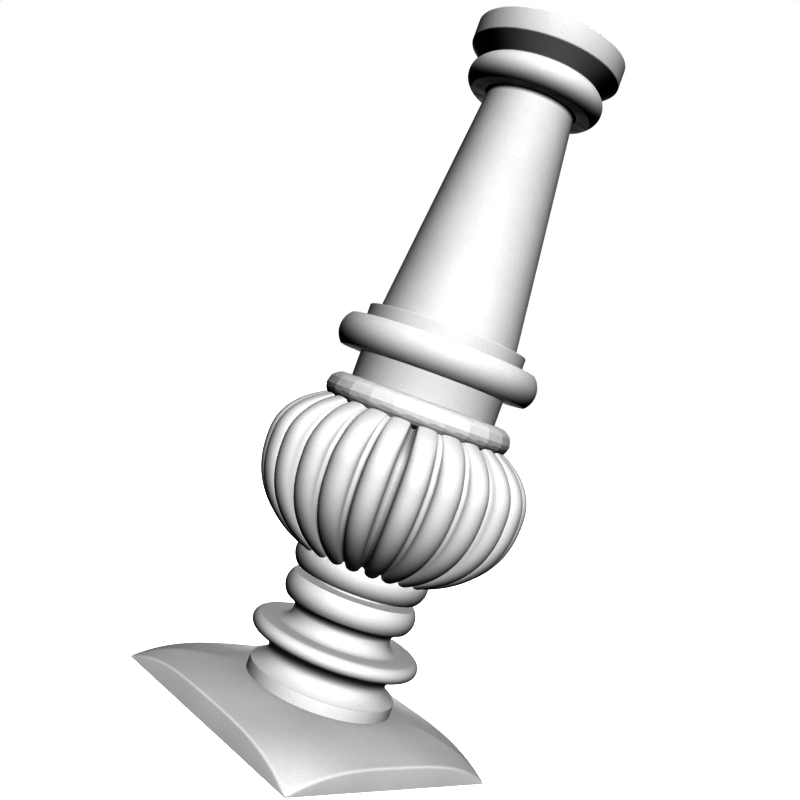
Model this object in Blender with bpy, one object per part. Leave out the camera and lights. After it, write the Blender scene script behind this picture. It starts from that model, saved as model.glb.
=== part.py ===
"""A carved stone baluster: a domed square plinth and, on it, one turned and gadrooned stone."""

import bpy
from math import cos, hypot, pi, radians, sin, sqrt, tau

# Plinth
PLINTH_SIDE = 0.240
CORNER_HEIGHT = 0.0008
SIDE_CREST = 0.0195
CREST_SHARPNESS = 3.3
SEAT_HEIGHT = 0.0309
SEAT_MARGIN = 0.0006
DOME_SHAPE = 1.3
JOINT = 0.0003

# Foot of the turned stone: drum, hollow, low roll
DRUM_RADIUS = 0.0686
DRUM_HEIGHT = 0.0109
ARRIS = 0.0008
LOW_HOLLOW_NECK = 0.0558
LOW_HOLLOW_BELOW = 0.0122
LOW_HOLLOW_ABOVE = 0.0151
LOW_ROLL_RADIUS = 0.0784
LOW_ROLL_EDGE = 0.0724
LOW_ROLL_HEIGHT = 0.0138

# Second hollow and the two rolls under the bulb
HIGH_HOLLOW_FOOT = 0.0576
HIGH_HOLLOW_NECK = 0.0461
HIGH_HOLLOW_BELOW = 0.0123
HIGH_HOLLOW_ABOVE = 0.0103
MID_ROLL_RADIUS = 0.0615
MID_ROLL_EDGE = 0.0572
MID_ROLL_HEIGHT = 0.0215
SLOT_NECK = 0.0380
SLOT_HEIGHT = 0.0055
CUP_ROLL_RADIUS = 0.0629
CUP_ROLL_EDGE = 0.0565
CUP_ROLL_HALF = 0.0142
CUP_ROLL_SHOWN = 0.0030

# Gadrooned bulb: groups of three lobes, a wide groove between two groups
BULB_PROUD = 0.0017
BULB_RADIUS = PLINTH_SIDE / 2 + BULB_PROUD
BULB_BELOW = 0.0950
BULB_ABOVE = 0.0700
BULB_FULLNESS = 2.3
BULB_HANG = 0.0830
BULB_START = 0.0050
LOBES_END = 0.0505
LOBE_GROUPS = 8
LOBES_IN_GROUP = 3
WIDE_GROOVE = radians(3.6)
NARROW_GROOVE = radians(2.2)
LOBE_RELIEF = 0.0104
GROOVE_TURN = radians(-1.1)

# Hammered ring and the neck above it
RING_CENTRE = 0.0750
RING_TUBE = 0.0128
RING_ABOVE_BULB = 0.0602
RING_MEETS_CREST = radians(-44)
RING_MEETS_GROOVE = radians(-85)
FACETS_FROM = radians(-29)
FACETS_TO = radians(110)
FACET_ROWS = 5
NECK_RADIUS = 0.0683
NECK_HEIGHT = 0.0243

# Great roll, fillet and tapered shaft
GREAT_ROLL_RADIUS = 0.0939
GREAT_ROLL_EDGE = 0.0878
GREAT_ROLL_HEIGHT = 0.0290
FILLET_RADIUS = 0.0744
FILLET_HEIGHT = 0.0130
SHAFT_FOOT = 0.0649
SHAFT_HEAD = 0.0412
SHAFT_HEIGHT = 0.2148

# Head: flared hollow, roll, neck and round abacus
HEAD_HOLLOW_HEIGHT = 0.0035
HEAD_HOLLOW_REACH = 0.0030
HEAD_ROLL_RADIUS = 0.0631
HEAD_ROLL_EDGE = 0.0564
HEAD_ROLL_HEIGHT = 0.0246
HEAD_NECK = 0.0555
HEAD_NECK_HEIGHT = 0.0010
ABACUS_SPLAY = 0.0126
ABACUS_RADIUS = 0.0694
ABACUS_HEIGHT = 0.0192

# Fineness of the faceted surface
PLAIN_SIDES = 40
HOLLOW_STEPS = 3
ROLL_STEPS = 6
GREAT_ROLL_STEPS = 8
FLARE_STEPS = 2
CUP_STEPS = 4
LOBE_COLUMNS = 5
LOBE_ROWS = 9
PLINTH_ROWS = 6
SMOOTH_ANGLE = radians(32)
PLINTH_SIDES = 64

STONE_COLOUR = (0.78, 0.77, 0.74, 1.0)


def stone_material(name):
    """One honed pale stone, in a material of the piece's own."""
    material = bpy.data.materials.new(name)
    material.use_nodes = True
    shader = material.node_tree.nodes["Principled BSDF"]
    shader.inputs["Base Color"].default_value = STONE_COLOUR
    shader.inputs["Roughness"].default_value = 0.6
    shader.inputs["Metallic"].default_value = 0.0
    return material


def add_solid(name, points, faces, smooth_angle):
    """Make one closed piece from its points and faces."""
    mesh = bpy.data.meshes.new(name)
    mesh.from_pydata(points, [], faces)
    mesh.validate()
    mesh.shade_smooth()
    mesh.set_sharp_from_angle(angle=smooth_angle)
    mesh.materials.append(stone_material(name + "_stone"))
    piece = bpy.data.objects.new(name, mesh)
    bpy.context.scene.collection.objects.link(piece)
    return piece


def ring_faces(lower, upper):
    """Join two rings of point numbers, lower to upper, when one may have a multiple of the other's points."""
    faces = []
    if len(lower) == len(upper):
        for i in range(len(lower)):
            j = (i + 1) % len(lower)
            faces.append((lower[i], lower[j], upper[j], upper[i]))
        return faces
    few, many = sorted((lower, upper), key=len)
    share = len(many) // len(few)
    for i, point in enumerate(few):
        following = few[(i + 1) % len(few)]
        fan = [many[(i * share + step) % len(many)] for step in range(share + 1)]
        middle = (share + 1) // 2
        for step in range(share):
            apex = point if step < middle else following
            face = (fan[step], fan[step + 1], apex)
            faces.append(face if many is lower else face[::-1])
        if many is lower:
            faces.append((point, fan[middle], following))
        else:
            faces.append((fan[middle], point, following))
    return faces


def closed_rings(rings):
    """Stack rings of points, bottom to top, into one closed surface with flat ends."""
    points, faces, numbered = [], [], []
    for ring in rings:
        numbered.append(list(range(len(points), len(points) + len(ring))))
        points.extend(ring)
    for lower, upper in zip(numbered, numbered[1:]):
        faces.extend(ring_faces(lower, upper))
    faces.append(tuple(reversed(numbered[0])))
    faces.append(tuple(numbered[-1]))
    return points, faces


def turned_ring(radius, height, turn=0.0):
    """One circle of a turned profile."""
    circle = []
    for i in range(PLAIN_SIDES):
        angle = tau * i / PLAIN_SIDES + turn
        circle.append((radius * cos(angle), radius * sin(angle), height))
    return circle


def hollow(foot, neck, lip, start, below, above, steps=HOLLOW_STEPS):
    """A scotia: it narrows from the foot to the neck and widens again to the lip."""
    profile = []
    for i in range(steps):
        share = i / steps
        profile.append((neck + (foot - neck) * (1 - share) ** 2, start + below * share))
    for i in range(steps + 1):
        share = i / steps
        profile.append((neck + (lip - neck) * share ** 2, start + below + above * share))
    return profile


def roll(edge, greatest, start, height, steps):
    """A torus moulding: a circular arc that swells from its edges to the greatest radius."""
    swell = greatest - edge
    half = height / 2
    arc = (half * half + swell * swell) / (2 * swell)
    profile = []
    for i in range(steps + 1):
        rise = -half * cos(pi * i / steps)
        profile.append((greatest - arc + sqrt(arc * arc - rise * rise), start + half + rise))
    return profile


def foot_profile(start):
    """Drum, low hollow, low roll, high hollow and middle roll, bottom to top."""
    drum_top = start + DRUM_HEIGHT
    profile = [
        (DRUM_RADIUS, start),
        (DRUM_RADIUS, drum_top - ARRIS),
    ]
    profile += hollow(
        DRUM_RADIUS - ARRIS, LOW_HOLLOW_NECK, LOW_ROLL_EDGE, drum_top, LOW_HOLLOW_BELOW, LOW_HOLLOW_ABOVE
    )
    low_roll = drum_top + LOW_HOLLOW_BELOW + LOW_HOLLOW_ABOVE
    profile += roll(LOW_ROLL_EDGE, LOW_ROLL_RADIUS, low_roll, LOW_ROLL_HEIGHT, ROLL_STEPS)[1:]
    ledge = low_roll + LOW_ROLL_HEIGHT
    profile += hollow(
        HIGH_HOLLOW_FOOT, HIGH_HOLLOW_NECK, MID_ROLL_EDGE, ledge, HIGH_HOLLOW_BELOW, HIGH_HOLLOW_ABOVE
    )
    mid_roll = ledge + HIGH_HOLLOW_BELOW + HIGH_HOLLOW_ABOVE
    profile += roll(MID_ROLL_EDGE, MID_ROLL_RADIUS, mid_roll, MID_ROLL_HEIGHT, ROLL_STEPS)[1:]
    slot = mid_roll + MID_ROLL_HEIGHT
    profile += [(SLOT_NECK, slot), (SLOT_NECK, slot + SLOT_HEIGHT)]
    return profile


def cup_radius(height, middle):
    """Radius of the roll under the bulb at a height, measured from the roll's middle height."""
    swell = CUP_ROLL_RADIUS - CUP_ROLL_EDGE
    arc = (CUP_ROLL_HALF ** 2 + swell ** 2) / (2 * swell)
    rise = height - middle
    return CUP_ROLL_RADIUS - arc + sqrt(max(arc * arc - rise * rise, 0.0))


def bulb_crest(rise):
    """Point and outward normal of the lobes' crest line, at a rise above the bulb's widest level."""
    reach = BULB_ABOVE if rise > 0 else BULB_BELOW
    share = abs(rise) / reach
    radius = BULB_RADIUS * sqrt(1 - share ** BULB_FULLNESS)
    slope = 0.0
    if share > 0:
        fall = BULB_FULLNESS * share ** (BULB_FULLNESS - 1) / (2 * reach)
        slope = -BULB_RADIUS ** 2 * fall / radius * (1 if rise > 0 else -1)
    length = hypot(1, slope)
    return radius, (1 / length, -slope / length)


def lobe_columns():
    """Angles round the bulb with the share of the full relief there: 0 on a groove floor, 1 on a crest."""
    columns = []
    lobes = LOBE_GROUPS * LOBES_IN_GROUP
    pitch = tau / lobes
    for lobe in range(lobes):
        place = lobe % LOBES_IN_GROUP
        before = WIDE_GROOVE if place == 0 else NARROW_GROOVE
        after = WIDE_GROOVE if place == LOBES_IN_GROUP - 1 else NARROW_GROOVE
        left = lobe * pitch + before / 2
        right = (lobe + 1) * pitch - after / 2
        for i in range(LOBE_COLUMNS):
            across = -cos(pi * i / (LOBE_COLUMNS - 1))
            angle = (left + right) / 2 + (right - left) / 2 * across
            columns.append((angle + GROOVE_TURN, sqrt(max(0.0, 1 - across * across))))
    return columns


def lobe_point(rise, share):
    """Radius and rise of the bulb's surface, sunk below the crest line by the grooves."""
    radius, normal = bulb_crest(rise)
    depth = LOBE_RELIEF * radius / BULB_RADIUS * (1 - share)
    return radius - normal[0] * depth, rise - normal[1] * depth


def bulb_rings(cup_middle, bulb_middle, ring_height):
    """The gadroons, from the roll they hang over to the hammered ring they tuck under."""
    columns = lobe_columns()
    rings = []
    for row in range(LOBE_ROWS + 1):
        rise = -BULB_HANG + (LOBES_END + BULB_HANG) * (1 - cos(pi * row / LOBE_ROWS)) / 2
        ring = []
        for angle, share in columns:
            radius, level = lobe_point(rise, share)
            height = bulb_middle + level
            if row == 0:
                radius = cup_radius(height, cup_middle)
            ring.append((radius * cos(angle), radius * sin(angle), height))
        rings.append(ring)
    ring = []
    for angle, share in columns:
        turn = RING_MEETS_GROOVE + (RING_MEETS_CREST - RING_MEETS_GROOVE) * share
        radius = RING_CENTRE + RING_TUBE * cos(turn)
        ring.append((radius * cos(angle), radius * sin(angle), ring_height + RING_TUBE * sin(turn)))
    rings.append(ring)
    return rings


def hammered_rings(ring_height):
    """The ring's facets: each row of points is turned by half a facet against the last."""
    rings = []
    half_facet = pi / PLAIN_SIDES
    for row in range(FACET_ROWS + 1):
        angle = FACETS_FROM + (FACETS_TO - FACETS_FROM) * row / FACET_ROWS
        radius = RING_CENTRE + RING_TUBE * cos(angle)
        height = ring_height + RING_TUBE * sin(angle)
        rings.append(turned_ring(radius, height, GROOVE_TURN + half_facet * (row % 2)))
    return rings


def upper_profile(start):
    """Neck, great roll, fillet, tapered shaft, head roll and abacus, bottom to top."""
    great_roll = start + NECK_HEIGHT
    profile = [(NECK_RADIUS, start), (NECK_RADIUS, great_roll)]
    profile += roll(GREAT_ROLL_EDGE, GREAT_ROLL_RADIUS, great_roll, GREAT_ROLL_HEIGHT, GREAT_ROLL_STEPS)
    fillet = great_roll + GREAT_ROLL_HEIGHT
    shaft = fillet + FILLET_HEIGHT
    profile += [(FILLET_RADIUS, fillet), (FILLET_RADIUS, shaft), (SHAFT_FOOT, shaft)]
    flare = shaft + SHAFT_HEIGHT
    for i in range(FLARE_STEPS + 1):
        share = i / FLARE_STEPS
        radius = SHAFT_HEAD + HEAD_HOLLOW_REACH * share ** 2
        profile.append((radius, flare + HEAD_HOLLOW_HEIGHT * share))
    head_roll = flare + HEAD_HOLLOW_HEIGHT
    profile += roll(HEAD_ROLL_EDGE, HEAD_ROLL_RADIUS, head_roll, HEAD_ROLL_HEIGHT, GREAT_ROLL_STEPS)
    neck = head_roll + HEAD_ROLL_HEIGHT
    splay = neck + HEAD_NECK_HEIGHT
    abacus = splay + ABACUS_SPLAY
    top = abacus + ABACUS_HEIGHT
    profile += [
        (HEAD_NECK, neck),
        (HEAD_NECK, splay),
        (ABACUS_RADIUS, abacus),
        (ABACUS_RADIUS, top - ARRIS),
        (ABACUS_RADIUS - ARRIS, top),
    ]
    return profile


def make_baluster():
    """The turned and carved stone, standing on the plinth's seat."""
    profile = foot_profile(SEAT_HEIGHT + JOINT)
    rings = [turned_ring(radius, height) for radius, height in profile]
    cup = profile[-1][1]
    cup_middle = cup + CUP_ROLL_HALF
    for i in range(CUP_STEPS + 1):
        height = cup + (CUP_ROLL_HALF + CUP_ROLL_SHOWN) * i / CUP_STEPS
        rings.append(turned_ring(cup_radius(height, cup_middle), height, GROOVE_TURN))
    bulb_middle = cup_middle + BULB_START + BULB_HANG
    ring_height = bulb_middle + RING_ABOVE_BULB
    rings += bulb_rings(cup_middle, bulb_middle, ring_height)
    rings += hammered_rings(ring_height)
    for radius, height in upper_profile(ring_height + RING_TUBE):
        rings.append(turned_ring(radius, height))
    points, faces = closed_rings(rings)
    return add_solid("baluster", points, faces, SMOOTH_ANGLE)


def plinth_height(share, x, y):
    """Height of the plinth's top, a share of the way from its seat to its edge: sides crested, corners low."""
    dome = (SEAT_HEIGHT - SIDE_CREST) * (1 - share ** DOME_SHAPE)
    corner = (SIDE_CREST - CORNER_HEIGHT) * (4 * abs(x * y) / PLINTH_SIDE ** 2) ** CREST_SHARPNESS
    return SIDE_CREST + dome - corner


def plinth_ring(share, heights):
    """Points round the plinth, a share of the way out from the seat to the square edge."""
    ring = []
    seat = DRUM_RADIUS + SEAT_MARGIN
    for i in range(PLINTH_SIDES):
        angle = tau * i / PLINTH_SIDES
        reach = PLINTH_SIDE / 2 / max(abs(cos(angle)), abs(sin(angle)))
        radius = seat + (reach - seat) * share
        x, y = radius * cos(angle), radius * sin(angle)
        ring.append((x, y, heights(share, x, y)))
    return ring


def make_plinth():
    """The square block, with a flat round seat for the turned stone."""
    rings = [plinth_ring(1.0, lambda share, x, y: 0.0)]
    for row in range(PLINTH_ROWS):
        rings.append(plinth_ring(1 - row / PLINTH_ROWS, plinth_height))
    rings.append(plinth_ring(0.0, lambda share, x, y: SEAT_HEIGHT))
    points, faces = closed_rings(rings)
    return add_solid("plinth", points, faces, SMOOTH_ANGLE)


def main():
    for old in list(bpy.data.objects):
        bpy.data.objects.remove(old, do_unlink=True)
    make_plinth()
    make_baluster()


main()
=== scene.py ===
"""The stone baluster in fine detail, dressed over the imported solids, with the photograph's camera."""

from math import atan2, cos, hypot, inf, pi, radians, sin, sqrt, tau

import bpy
from mathutils import Matrix, Vector


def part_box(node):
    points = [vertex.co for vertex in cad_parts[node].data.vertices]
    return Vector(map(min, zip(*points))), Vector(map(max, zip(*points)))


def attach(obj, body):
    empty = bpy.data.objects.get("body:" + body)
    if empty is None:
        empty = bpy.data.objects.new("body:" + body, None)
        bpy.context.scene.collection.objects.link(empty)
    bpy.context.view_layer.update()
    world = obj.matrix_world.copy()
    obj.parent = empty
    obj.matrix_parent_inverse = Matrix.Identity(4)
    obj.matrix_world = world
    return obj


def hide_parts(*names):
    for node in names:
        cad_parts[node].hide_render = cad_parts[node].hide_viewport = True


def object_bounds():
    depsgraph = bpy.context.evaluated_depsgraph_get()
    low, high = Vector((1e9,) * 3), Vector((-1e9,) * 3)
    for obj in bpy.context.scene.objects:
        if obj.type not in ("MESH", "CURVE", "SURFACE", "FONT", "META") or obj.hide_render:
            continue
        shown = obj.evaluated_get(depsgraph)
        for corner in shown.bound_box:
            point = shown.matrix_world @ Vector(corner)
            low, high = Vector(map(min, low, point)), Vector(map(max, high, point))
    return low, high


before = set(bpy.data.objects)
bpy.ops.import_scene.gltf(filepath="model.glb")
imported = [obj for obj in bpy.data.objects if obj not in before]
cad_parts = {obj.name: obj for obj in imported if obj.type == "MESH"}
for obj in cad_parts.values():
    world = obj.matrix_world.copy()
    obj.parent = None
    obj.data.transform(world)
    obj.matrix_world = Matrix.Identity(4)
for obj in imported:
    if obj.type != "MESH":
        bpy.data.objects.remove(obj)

solid_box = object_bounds()

# Sizes of the stone, in metres, the same as the solids'
PLINTH_SIDE = 0.240
CORNER_HEIGHT = 0.0008
SIDE_CREST = 0.0195
CREST_SHARPNESS = 3.3
SEAT_MARGIN = 0.0006
DOME_SHAPE = 1.3
JOINT = 0.0003

DRUM_RADIUS = 0.0686
DRUM_HEIGHT = 0.0109
LOW_HOLLOW_NECK = 0.0558
LOW_HOLLOW_BELOW = 0.0122
LOW_HOLLOW_ABOVE = 0.0151
LOW_ROLL_RADIUS = 0.0784
LOW_ROLL_EDGE = 0.0724
LOW_ROLL_HEIGHT = 0.0138
HIGH_HOLLOW_FOOT = 0.0576
HIGH_HOLLOW_NECK = 0.0461
HIGH_HOLLOW_BELOW = 0.0123
HIGH_HOLLOW_ABOVE = 0.0103
MID_ROLL_RADIUS = 0.0615
MID_ROLL_EDGE = 0.0572
MID_ROLL_HEIGHT = 0.0215
SLOT_NECK = 0.0380
SLOT_HEIGHT = 0.0055
CUP_ROLL_RADIUS = 0.0629
CUP_ROLL_EDGE = 0.0565
CUP_ROLL_HALF = 0.0142
CUP_ROLL_SHOWN = 0.0030

BULB_PROUD = 0.0017
BULB_RADIUS = PLINTH_SIDE / 2 + BULB_PROUD
BULB_BELOW = 0.0950
BULB_ABOVE = 0.0700
BULB_FULLNESS = 2.3
BULB_HANG = 0.0830
BULB_START = 0.0050
LOBES_END = 0.0575
LOBE_GROUPS = 8
LOBES_IN_GROUP = 3
WIDE_GROOVE = radians(4.5)
NARROW_GROOVE = radians(2.9)
LOBE_RELIEF = 0.0088
GROOVE_HOLLOW = 0.0042
SHALLOW_FROM = 0.0220
SHALLOW_TO = 0.0520
SHALLOW_SHARE = 0.30
GROOVE_TURN = radians(-1.1)
RING_TURN = radians(-46.43)

RING_CENTRE = 0.0750
RING_TUBE = 0.0128
RING_ABOVE_BULB = 0.0602
NECK_RADIUS = 0.0683
NECK_HEIGHT = 0.0243
GREAT_ROLL_RADIUS = 0.0939
GREAT_ROLL_EDGE = 0.0878
GREAT_ROLL_HEIGHT = 0.0290
FILLET_RADIUS = 0.0744
FILLET_HEIGHT = 0.0130
SHAFT_FOOT = 0.0649
SHAFT_HEAD = 0.0412
SHAFT_HEIGHT = 0.2148
HEAD_HOLLOW_HEIGHT = 0.0035
HEAD_HOLLOW_REACH = 0.0030
HEAD_ROLL_RADIUS = 0.0631
HEAD_ROLL_EDGE = 0.0564
HEAD_ROLL_HEIGHT = 0.0246
HEAD_NECK = 0.0555
HEAD_NECK_HEIGHT = 0.0010
ABACUS_SPLAY = 0.0126
ABACUS_RADIUS = 0.0694
ABACUS_HEIGHT = 0.0192

# Finish: the worn softness of the arrises
ARRIS = 0.0009
PLINTH_ARRIS = 0.0018
ARRIS_STEPS = 4
PLINTH_ARRIS_STEPS = 5
ARRIS_SHARE = 0.45
ARRIS_TURN = radians(24)
SHARP_EDGE = radians(38)

# The ring's hammered facets: each one's points, as angles round the axis and up the ring
FACETS_ROUND = 24
FACET_HEIGHT = radians(30)
FACET_EDGE = radians(1)
FACET_ROWS = range(-3, 4)
FACET_RAISED = 0.0003
FACET_SUNK = 0.0004
MIDDLE_LEFT = radians(8)
MIDDLE_CENTRE = radians(16)
ZIGZAG_LOW = (radians(6), radians(7))
ZIGZAG_PEAK = (radians(10.5), radians(17))
ZIGZAG_FALL = (radians(16), radians(13))

# Fineness of the meshes
PLAIN_SIDES = 228
LOBE_COLUMNS = 16
GROOVE_COLUMNS = 6
LOBE_ROWS = 84
CURVE_STEPS = 14
PLINTH_SIDES = 288
PLINTH_ROWS = 30

# The photograph's camera, solved from the mouldings' ellipses and the plinth's corners
CAMERA_DISTANCE = 0.8617
CAMERA_HEIGHT = 0.29797
CAMERA_TURN = radians(43.57)
CAMERA_PAN = radians(-1.317)
CAMERA_TILT = radians(0.239)
CAMERA_ROLL = radians(19.995)
CAMERA_LENS = 42.72

# The lights: turn to the right from the camera, elevation, spread and strength
KEY_LIGHT = (radians(5), radians(30), radians(8), 4.3)
BACK_LIGHT = (radians(185), radians(20), radians(60), 0.3)
REAR_FILL = (radians(180), radians(-3), radians(8), 2.0)
FLOOR_REACH = 40.0
FLOOR_GAP = 0.0002

seat_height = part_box("plinth")[1][2]


def rounded(profile):
    """The profile with each sharp corner eased by a small curve."""
    eased = [profile[0]]
    for before, corner, after in zip(profile, profile[1:], profile[2:]):
        into = Vector(before) - Vector(corner)
        out = Vector(after) - Vector(corner)
        if into.length < 1e-7 or out.length < 1e-7:
            continue
        if pi - into.angle(out) < ARRIS_TURN:
            eased.append(corner)
            continue
        reach = min(ARRIS, into.length * ARRIS_SHARE, out.length * ARRIS_SHARE)
        start = Vector(corner) + into.normalized() * reach
        end = Vector(corner) + out.normalized() * reach
        for step in range(ARRIS_STEPS + 1):
            share = step / ARRIS_STEPS
            middle = Vector(corner) * 2 * share * (1 - share)
            eased.append(tuple(start * (1 - share) ** 2 + middle + end * share ** 2))
    eased.append(profile[-1])
    return eased


def hollow(foot, neck, lip, start, below, above, tangent_foot=False):
    """A scotia: it narrows from the foot to the neck and widens again to the lip."""
    profile = []
    for i in range(CURVE_STEPS):
        share = i / CURVE_STEPS
        if tangent_foot:
            turn = pi / 2 * share
            radius = foot - (foot - neck) * sin(turn)
            profile.append((radius, start + below * (1 - cos(turn))))
        else:
            profile.append((neck + (foot - neck) * (1 - share) ** 2, start + below * share))
    for i in range(CURVE_STEPS + 1):
        share = i / CURVE_STEPS
        profile.append((neck + (lip - neck) * share ** 2, start + below + above * share))
    return profile


def roll(edge, greatest, start, height):
    """A torus moulding: a circular arc that swells from its edges to the greatest radius."""
    swell = greatest - edge
    half = height / 2
    arc = (half * half + swell * swell) / (2 * swell)
    profile = []
    for i in range(CURVE_STEPS + 3):
        rise = -half * cos(pi * i / (CURVE_STEPS + 2))
        profile.append((greatest - arc + sqrt(arc * arc - rise * rise), start + half + rise))
    return profile


def foot_profile(start):
    """Drum, low hollow, low roll, high hollow and middle roll, bottom to top."""
    drum_top = start + DRUM_HEIGHT
    profile = [(DRUM_RADIUS, start), (DRUM_RADIUS, drum_top)]
    profile += hollow(
        DRUM_RADIUS - ARRIS,
        LOW_HOLLOW_NECK,
        LOW_ROLL_EDGE,
        drum_top,
        LOW_HOLLOW_BELOW,
        LOW_HOLLOW_ABOVE,
    )
    low_roll = drum_top + LOW_HOLLOW_BELOW + LOW_HOLLOW_ABOVE
    profile += roll(LOW_ROLL_EDGE, LOW_ROLL_RADIUS, low_roll, LOW_ROLL_HEIGHT)[1:]
    ledge = low_roll + LOW_ROLL_HEIGHT
    profile += hollow(
        HIGH_HOLLOW_FOOT,
        HIGH_HOLLOW_NECK,
        MID_ROLL_EDGE,
        ledge,
        HIGH_HOLLOW_BELOW,
        HIGH_HOLLOW_ABOVE,
        tangent_foot=True,
    )
    mid_roll = ledge + HIGH_HOLLOW_BELOW + HIGH_HOLLOW_ABOVE
    profile += roll(MID_ROLL_EDGE, MID_ROLL_RADIUS, mid_roll, MID_ROLL_HEIGHT)[1:]
    slot = mid_roll + MID_ROLL_HEIGHT
    profile += [(SLOT_NECK, slot), (SLOT_NECK, slot + SLOT_HEIGHT)]
    return profile


def cup_radius(height, middle):
    """Radius of the roll under the bulb at a height, measured from the roll's middle height."""
    swell = CUP_ROLL_RADIUS - CUP_ROLL_EDGE
    arc = (CUP_ROLL_HALF ** 2 + swell ** 2) / (2 * swell)
    rise = height - middle
    return CUP_ROLL_RADIUS - arc + sqrt(max(arc * arc - rise * rise, 0.0))


def upper_profile(start):
    """Neck, great roll, fillet, tapered shaft, head roll and abacus, bottom to top."""
    great_roll = start + NECK_HEIGHT
    profile = [(NECK_RADIUS, start), (NECK_RADIUS, great_roll)]
    profile += roll(GREAT_ROLL_EDGE, GREAT_ROLL_RADIUS, great_roll, GREAT_ROLL_HEIGHT)
    fillet = great_roll + GREAT_ROLL_HEIGHT
    shaft = fillet + FILLET_HEIGHT
    profile += [(FILLET_RADIUS, fillet), (FILLET_RADIUS, shaft), (SHAFT_FOOT, shaft)]
    flare = shaft + SHAFT_HEIGHT
    for i in range(CURVE_STEPS + 1):
        turn = pi / 2 * i / CURVE_STEPS
        radius = SHAFT_HEAD + HEAD_HOLLOW_REACH * (1 - cos(turn))
        profile.append((radius, flare + HEAD_HOLLOW_HEIGHT * sin(turn)))
    head_roll = flare + HEAD_HOLLOW_HEIGHT
    profile += roll(HEAD_ROLL_EDGE, HEAD_ROLL_RADIUS, head_roll, HEAD_ROLL_HEIGHT)
    neck = head_roll + HEAD_ROLL_HEIGHT
    splay = neck + HEAD_NECK_HEIGHT
    abacus = splay + ABACUS_SPLAY
    top = abacus + ABACUS_HEIGHT
    profile += [
        (HEAD_NECK, neck),
        (HEAD_NECK, splay),
        (ABACUS_RADIUS, abacus),
        (ABACUS_RADIUS, top),
        (ABACUS_RADIUS / 2, top),
    ]
    return profile


def bulb_crest(rise):
    """Point and outward normal of the lobes' crest line, at a rise above the bulb's widest level."""
    reach = BULB_ABOVE if rise > 0 else BULB_BELOW
    share = abs(rise) / reach
    radius = BULB_RADIUS * sqrt(1 - share ** BULB_FULLNESS)
    fall = BULB_FULLNESS * share ** (BULB_FULLNESS - 1) / (2 * reach)
    slope = -BULB_RADIUS ** 2 * fall / radius * (1 if rise > 0 else -1)
    length = hypot(1, slope)
    return radius, (1 / length, -slope / length)


def lobe_columns():
    """Each column's angle, its depth below the crest line and how far that is kept under the ring."""
    columns = []
    pitch = tau / (LOBE_GROUPS * LOBES_IN_GROUP)
    for lobe in range(LOBE_GROUPS * LOBES_IN_GROUP):
        place = lobe % LOBES_IN_GROUP
        before = WIDE_GROOVE if place == 0 else NARROW_GROOVE
        after = WIDE_GROOVE if place == LOBES_IN_GROUP - 1 else NARROW_GROOVE
        left = lobe * pitch + before / 2
        right = (lobe + 1) * pitch - after / 2
        for i in range(LOBE_COLUMNS):
            across = -cos(pi * i / (LOBE_COLUMNS - 1))
            angle = (left + right) / 2 + (right - left) / 2 * across
            depth = LOBE_RELIEF * (1 - sqrt(max(0.0, 1 - across * across)))
            columns.append((angle + GROOVE_TURN, depth, 0.0))
        for i in range(1, GROOVE_COLUMNS):
            across = -cos(pi * i / GROOVE_COLUMNS)
            share = 1 - across * across
            floor = LOBE_RELIEF + GROOVE_HOLLOW * (after / WIDE_GROOVE) ** 2 * share
            kept = share if after == WIDE_GROOVE else 0.0
            columns.append((right + after / 2 * (1 + across) + GROOVE_TURN, floor, kept))
    return columns


def lobe_point(rise, depth, kept):
    """Radius and rise of the bulb's surface, whose carving is shallower near the ring."""
    radius, normal = bulb_crest(rise)
    ease = min(max((rise - SHALLOW_FROM) / (SHALLOW_TO - SHALLOW_FROM), 0.0), 1.0)
    ease = ease * ease * (3 - 2 * ease)
    sunk = depth * radius / BULB_RADIUS * (1 - (1 - SHALLOW_SHARE) * ease * (1 - kept))
    return radius - normal[0] * sunk, rise - normal[1] * sunk


def circle(radius, height):
    """One circle of points round the axis."""
    angles = [tau * i / PLAIN_SIDES for i in range(PLAIN_SIDES)]
    return [(radius * cos(angle), radius * sin(angle), height) for angle in angles]


def bulb_rings(cup_middle, bulb_middle):
    """The gadroons, from the roll they hang over up to their ends inside the hammered ring."""
    columns = lobe_columns()
    rings = []
    for row in range(LOBE_ROWS + 1):
        rise = -BULB_HANG + (LOBES_END + BULB_HANG) * (1 - cos(pi * row / LOBE_ROWS)) / 2
        ring = []
        for angle, depth, kept in columns:
            radius, level = lobe_point(rise, depth, kept)
            height = bulb_middle + level
            if row == 0:
                radius = cup_radius(height, cup_middle)
            ring.append((radius * cos(angle), radius * sin(angle), height))
        rings.append(ring)
    return rings


def ring_point(azimuth, turn, raised, ring_height):
    """A point of the hammered ring, which is flat across each of its parts."""
    part = tau / FACETS_ROUND
    aside = (azimuth - FACET_EDGE) % part - part / 2
    flat = (RING_CENTRE + RING_TUBE) * (cos(part / 2) / cos(aside) - 1)
    radius = RING_CENTRE + flat + (RING_TUBE + raised) * cos(turn)
    height = ring_height + (RING_TUBE + raised) * sin(turn)
    return (radius * cos(azimuth + RING_TURN), radius * sin(azimuth + RING_TURN), height)


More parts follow.
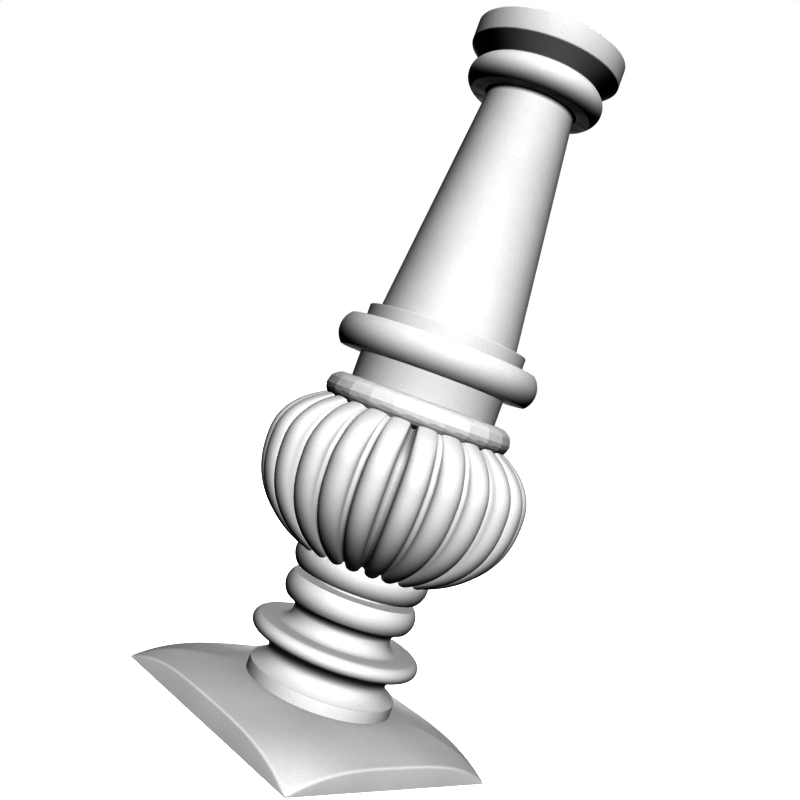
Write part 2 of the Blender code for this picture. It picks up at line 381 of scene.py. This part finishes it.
def hammered_rings(ring_height):
    """Rows of points of the ring's six-sided facets: across their middles, then a zigzag."""
    part = tau / FACETS_ROUND
    rows = []
    for row in FACET_ROWS:
        middle, zigzag = [], []
        base = FACET_EDGE + FACET_HEIGHT * row
        sunk = FACET_SUNK if row == 0 else 0.0
        for i in range(FACETS_ROUND):
            start = i * part
            middle.append(ring_point(start + MIDDLE_LEFT, base, FACET_RAISED, ring_height))
            middle.append(ring_point(start + MIDDLE_CENTRE, base, 0.0, ring_height))
            corners = (ZIGZAG_LOW, FACET_RAISED), (ZIGZAG_PEAK, FACET_RAISED), (ZIGZAG_FALL, 0.0)
            for (along, up), raised in corners:
                zigzag.append(ring_point(start + along, base + up, raised - sunk, ring_height))
        rows += [middle, zigzag]
    return rows


def hammered_faces(first):
    """Facets between the rows of hammered_rings, whose first point has the number given."""
    faces = []
    zigzag = None
    for row in FACET_ROWS:
        middle = [first + i for i in range(2 * FACETS_ROUND)]
        upper = [middle[-1] + 1 + i for i in range(3 * FACETS_ROUND)]
        for i in range(FACETS_ROUND):
            following = (i + 1) % FACETS_ROUND
            left, centre, right = middle[2 * i], middle[2 * i + 1], middle[2 * following]
            low, peak, fall = upper[3 * i:3 * i + 3]
            next_low = upper[3 * following]
            faces += [(left, centre, fall, peak), (left, peak, low), (centre, right, next_low, fall)]
            if zigzag:
                peak, fall = zigzag[3 * i + 1], zigzag[3 * i + 2]
                next_low, next_peak = zigzag[3 * following], zigzag[3 * following + 1]
                faces += [(peak, fall, centre, left), (fall, next_low, next_peak)]
                faces.append((fall, next_peak, right, centre))
        zigzag = upper
        first = upper[-1] + 1
    return faces


def bridge(lower, upper, points):
    """Join two rings that run round the axis with any numbers of points by a band of triangles."""
    def around(ring):
        turned = sorted(ring, key=lambda number: atan2(points[number][1], points[number][0]))
        return turned, [atan2(points[number][1], points[number][0]) for number in turned]

    low, low_angles = around(lower)
    high, high_angles = around(upper)
    faces = []
    i = j = 0
    low_angles += [low_angles[0] + tau, inf]
    high_angles += [high_angles[0] + tau, inf]
    while i < len(low) or j < len(high):
        next_low = low_angles[i + 1]
        next_high = high_angles[j + 1]
        a, b = low[i % len(low)], high[j % len(high)]
        if next_low <= next_high:
            i += 1
            faces.append((a, low[i % len(low)], b))
        else:
            j += 1
            faces.append((a, high[j % len(high)], b))
    return faces


def stack(rings, points, faces):
    """Add rings of points, bottom to top, with the bands between; returns the end rings."""
    numbered = []
    for ring in rings:
        numbered.append(list(range(len(points), len(points) + len(ring))))
        points.extend(ring)
    for lower, upper in zip(numbered, numbered[1:]):
        if len(lower) == len(upper):
            for i in range(len(lower)):
                j = (i + 1) % len(lower)
                faces.append((lower[i], lower[j], upper[j], upper[i]))
        else:
            faces.extend(bridge(lower, upper, points))
    return numbered[0], numbered[-1]


def closed_rings(rings):
    """Stack rings of points into one closed surface with flat ends."""
    points, faces = [], []
    bottom, top = stack(rings, points, faces)
    faces.append(tuple(reversed(bottom)))
    faces.append(tuple(top))
    return points, faces


def add_piece(name, points, faces, material, node):
    """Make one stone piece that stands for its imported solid."""
    mesh = bpy.data.meshes.new(name)
    mesh.from_pydata(points, [], faces)
    mesh.shade_smooth()
    mesh.set_sharp_from_angle(angle=SHARP_EDGE)
    mesh.materials.append(material)
    piece = bpy.data.objects.new(name, mesh)
    bpy.context.scene.collection.objects.link(piece)
    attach(piece, "root")
    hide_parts(node)
    piece.visible_diffuse = False
    return piece


def make_baluster(material):
    """The turned and carved stone in one mesh."""
    profile = foot_profile(seat_height + JOINT)
    cup = profile[-1][1]
    cup_middle = cup + CUP_ROLL_HALF
    for i in range(CURVE_STEPS + 1):
        height = cup + (CUP_ROLL_HALF + CUP_ROLL_SHOWN) * i / CURVE_STEPS
        profile.append((cup_radius(height, cup_middle), height))
    rings = [circle(radius, height) for radius, height in rounded(profile)]
    bulb_middle = cup_middle + BULB_START + BULB_HANG
    ring_height = bulb_middle + RING_ABOVE_BULB
    rings += bulb_rings(cup_middle, bulb_middle)
    points, faces = [], []
    bottom, tuck = stack(rings, points, faces)
    facets = hammered_rings(ring_height)
    first = len(points)
    for row in facets:
        points.extend(row)
    faces += bridge(tuck, list(range(first, first + len(facets[0]))), points)
    hammered_from = len(faces)
    faces += hammered_faces(first)
    hammered_to = len(faces)
    crown = list(range(len(points) - len(facets[-1]), len(points)))
    profile = rounded(upper_profile(ring_height + RING_TUBE))
    upper = [circle(radius, height) for radius, height in profile]
    neck, top = stack(upper, points, faces)
    faces += bridge(crown, neck, points)
    faces += [tuple(reversed(bottom)), tuple(top)]
    piece = add_piece("baluster_stone", points, faces, material, "baluster")
    for polygon in piece.data.polygons[hammered_from:hammered_to]:
        polygon.use_smooth = False
    return piece


def plinth_height(share, x, y):
    """Height of the plinth's top, a share of the way from its seat to its edge."""
    dome = (seat_height - SIDE_CREST) * (1 - share ** DOME_SHAPE)
    corner = (SIDE_CREST - CORNER_HEIGHT) * (4 * abs(x * y) / PLINTH_SIDE ** 2) ** CREST_SHARPNESS
    return SIDE_CREST + dome - corner


def plinth_ring(share, heights):
    """Points round the plinth, a share of the way out from the seat to the square edge."""
    ring = []
    seat = DRUM_RADIUS + SEAT_MARGIN
    for i in range(PLINTH_SIDES):
        angle = tau * i / PLINTH_SIDES
        reach = PLINTH_SIDE / 2 / max(abs(cos(angle)), abs(sin(angle)))
        radius = seat + (reach - seat) * share
        x, y = radius * cos(angle), radius * sin(angle)
        ring.append((x, y, heights(share, x, y)))
    return ring


def plinth_edge(inset, drop):
    """Points along the plinth's softened top edge, set in from the side and down from the crest line."""
    ring = []
    share = 1 - inset * PLINTH_ARRIS / (PLINTH_SIDE / 2 - DRUM_RADIUS)
    for x, y, height in plinth_ring(share, plinth_height):
        ring.append((x, y, height - drop * min(PLINTH_ARRIS, height / 2)))
    return ring


def make_plinth(material):
    """The square block, with a flat round seat for the turned stone."""
    rings = [plinth_ring(1.0, lambda share, x, y: 0.0)]
    for i in range(PLINTH_ARRIS_STEPS + 1):
        turn = pi / 2 * i / PLINTH_ARRIS_STEPS
        rings.append(plinth_edge(1 - cos(turn), 1 - sin(turn)))
    for row in range(1, PLINTH_ROWS):
        rings.append(plinth_ring(1 - row / PLINTH_ROWS, plinth_height))
    rings.append(plinth_ring(0.0, lambda share, x, y: seat_height))
    points, faces = closed_rings(rings)
    return add_piece("plinth_stone", points, faces, material, "plinth")


def stone_material(name):
    """Pale fine-grained stone: cloudy tone, fine specks and a faintly pitted skin."""
    material = bpy.data.materials.new(name)
    material.use_nodes = True
    nodes, links = material.node_tree.nodes, material.node_tree.links
    shader = nodes["Principled BSDF"]
    place = nodes.new("ShaderNodeTexCoord")

    def noise(scale, detail, roughness=0.55):
        texture = nodes.new("ShaderNodeTexNoise")
        texture.inputs["Scale"].default_value = scale
        texture.inputs["Detail"].default_value = detail
        texture.inputs["Roughness"].default_value = roughness
        links.new(place.outputs["Object"], texture.inputs["Vector"])
        return texture.outputs["Fac"]

    def ramp(value, low, high):
        curve = nodes.new("ShaderNodeValToRGB")
        curve.color_ramp.elements[0].position = low[0]
        curve.color_ramp.elements[0].color = low[1]
        curve.color_ramp.elements[1].position = high[0]
        curve.color_ramp.elements[1].color = high[1]
        links.new(value, curve.inputs["Fac"])
        return curve.outputs["Color"]

    def multiply(first, second):
        mix = nodes.new("ShaderNodeMix")
        mix.data_type = "RGBA"
        mix.blend_type = "MULTIPLY"
        mix.inputs["Factor"].default_value = 1.0
        links.new(first, mix.inputs["A"])
        links.new(second, mix.inputs["B"])
        return mix.outputs["Result"]

    clouds = ramp(noise(14, 5), (0.3, (0.785, 0.785, 0.782, 1)), (0.7, (0.83, 0.83, 0.828, 1)))
    specks = ramp(noise(900, 3), (0.34, (0.95, 0.95, 0.95, 1)), (0.5, (1, 1, 1, 1)))
    links.new(multiply(clouds, specks), shader.inputs["Base Color"])
    polish = ramp(noise(60, 4), (0.3, (0.55, 0.55, 0.55, 1)), (0.7, (0.72, 0.72, 0.72, 1)))
    links.new(polish, shader.inputs["Roughness"])
    shader.inputs["Specular IOR Level"].default_value = 0.25
    grain = nodes.new("ShaderNodeBump")
    grain.inputs["Strength"].default_value = 0.05
    grain.inputs["Distance"].default_value = 0.0006
    links.new(noise(700, 4, 0.65), grain.inputs["Height"])
    links.new(grain.outputs["Normal"], shader.inputs["Normal"])
    return material


def make_camera():
    """The camera where the photograph was taken, leaning so that the baluster leans to the right."""
    level = Vector((sin(CAMERA_PAN), cos(CAMERA_PAN), 0))
    ahead = level * cos(CAMERA_TILT) + Vector((0, 0, sin(CAMERA_TILT)))
    right = ahead.cross(Vector((0, 0, 1))).normalized()
    up = right.cross(ahead)
    leaning_right = right * cos(CAMERA_ROLL) + up * sin(CAMERA_ROLL)
    leaning_up = up * cos(CAMERA_ROLL) - right * sin(CAMERA_ROLL)
    axes = Matrix((leaning_right, leaning_up, -ahead)).transposed().to_4x4()
    place = Matrix.Translation((0, -CAMERA_DISTANCE, CAMERA_HEIGHT))
    camera = bpy.data.objects.new("camera", bpy.data.cameras.new("camera"))
    camera.data.lens = CAMERA_LENS
    camera.data.sensor_width = 36.0
    camera.data.clip_start = 0.01
    camera.matrix_world = Matrix.Rotation(CAMERA_TURN, 4, "Z") @ place @ axes
    bpy.context.scene.collection.objects.link(camera)
    bpy.context.scene.camera = camera


def add_sun(name, turn, elevation, spread, strength):
    """An even broad light without hard shadows; turn is measured to the right from the camera."""
    data = bpy.data.lights.new(name, "SUN")
    data.angle = spread
    data.energy = strength
    data.use_shadow = False
    lamp = bpy.data.objects.new(name, data)
    angle = CAMERA_TURN + turn
    away = Vector((sin(angle) * cos(elevation), -cos(angle) * cos(elevation), sin(elevation)))
    lamp.location = away
    lamp.rotation_euler = away.to_track_quat("Z", "Y").to_euler()
    bpy.context.scene.collection.objects.link(lamp)


def make_studio():
    """A plain pale floor and backdrop, a soft frontal key and two weaker lights behind."""
    world = bpy.data.worlds.new("studio")
    bpy.context.scene.world = world
    world.use_nodes = True
    backdrop = world.node_tree.nodes["Background"]
    backdrop.inputs["Color"].default_value = (1, 1, 1, 1)
    backdrop.inputs["Strength"].default_value = 1.0
    world.cycles_visibility.diffuse = False
    world.cycles_visibility.glossy = False
    mesh = bpy.data.meshes.new("floor")
    corners = [(-1, -1), (1, -1), (1, 1), (-1, 1)]
    points = [(x * FLOOR_REACH, y * FLOOR_REACH, 0) for x, y in corners]
    mesh.from_pydata(points, [], [(0, 1, 2, 3)])
    floor = bpy.data.objects.new("floor", mesh)
    floor.location.z = solid_box[0][2] - FLOOR_GAP
    pale = bpy.data.materials.new("pale_floor")
    pale.use_nodes = True
    shader = pale.node_tree.nodes["Principled BSDF"]
    shader.inputs["Base Color"].default_value = (0.8, 0.8, 0.8, 1)
    shader.inputs["Roughness"].default_value = 0.9
    shader.inputs["Emission Color"].default_value = (1, 1, 1, 1)
    shader.inputs["Emission Strength"].default_value = 1.0
    mesh.materials.append(pale)
    floor.visible_diffuse = False
    floor.visible_glossy = False
    bpy.context.scene.collection.objects.link(floor)
    add_sun("key", *KEY_LIGHT)
    add_sun("back", *BACK_LIGHT)
    add_sun("rear", *REAR_FILL)
    bpy.context.scene.view_settings.view_transform = "Raw"


make_plinth(stone_material("plinth_stone"))
make_baluster(stone_material("baluster_stone"))
make_camera()
make_studio()
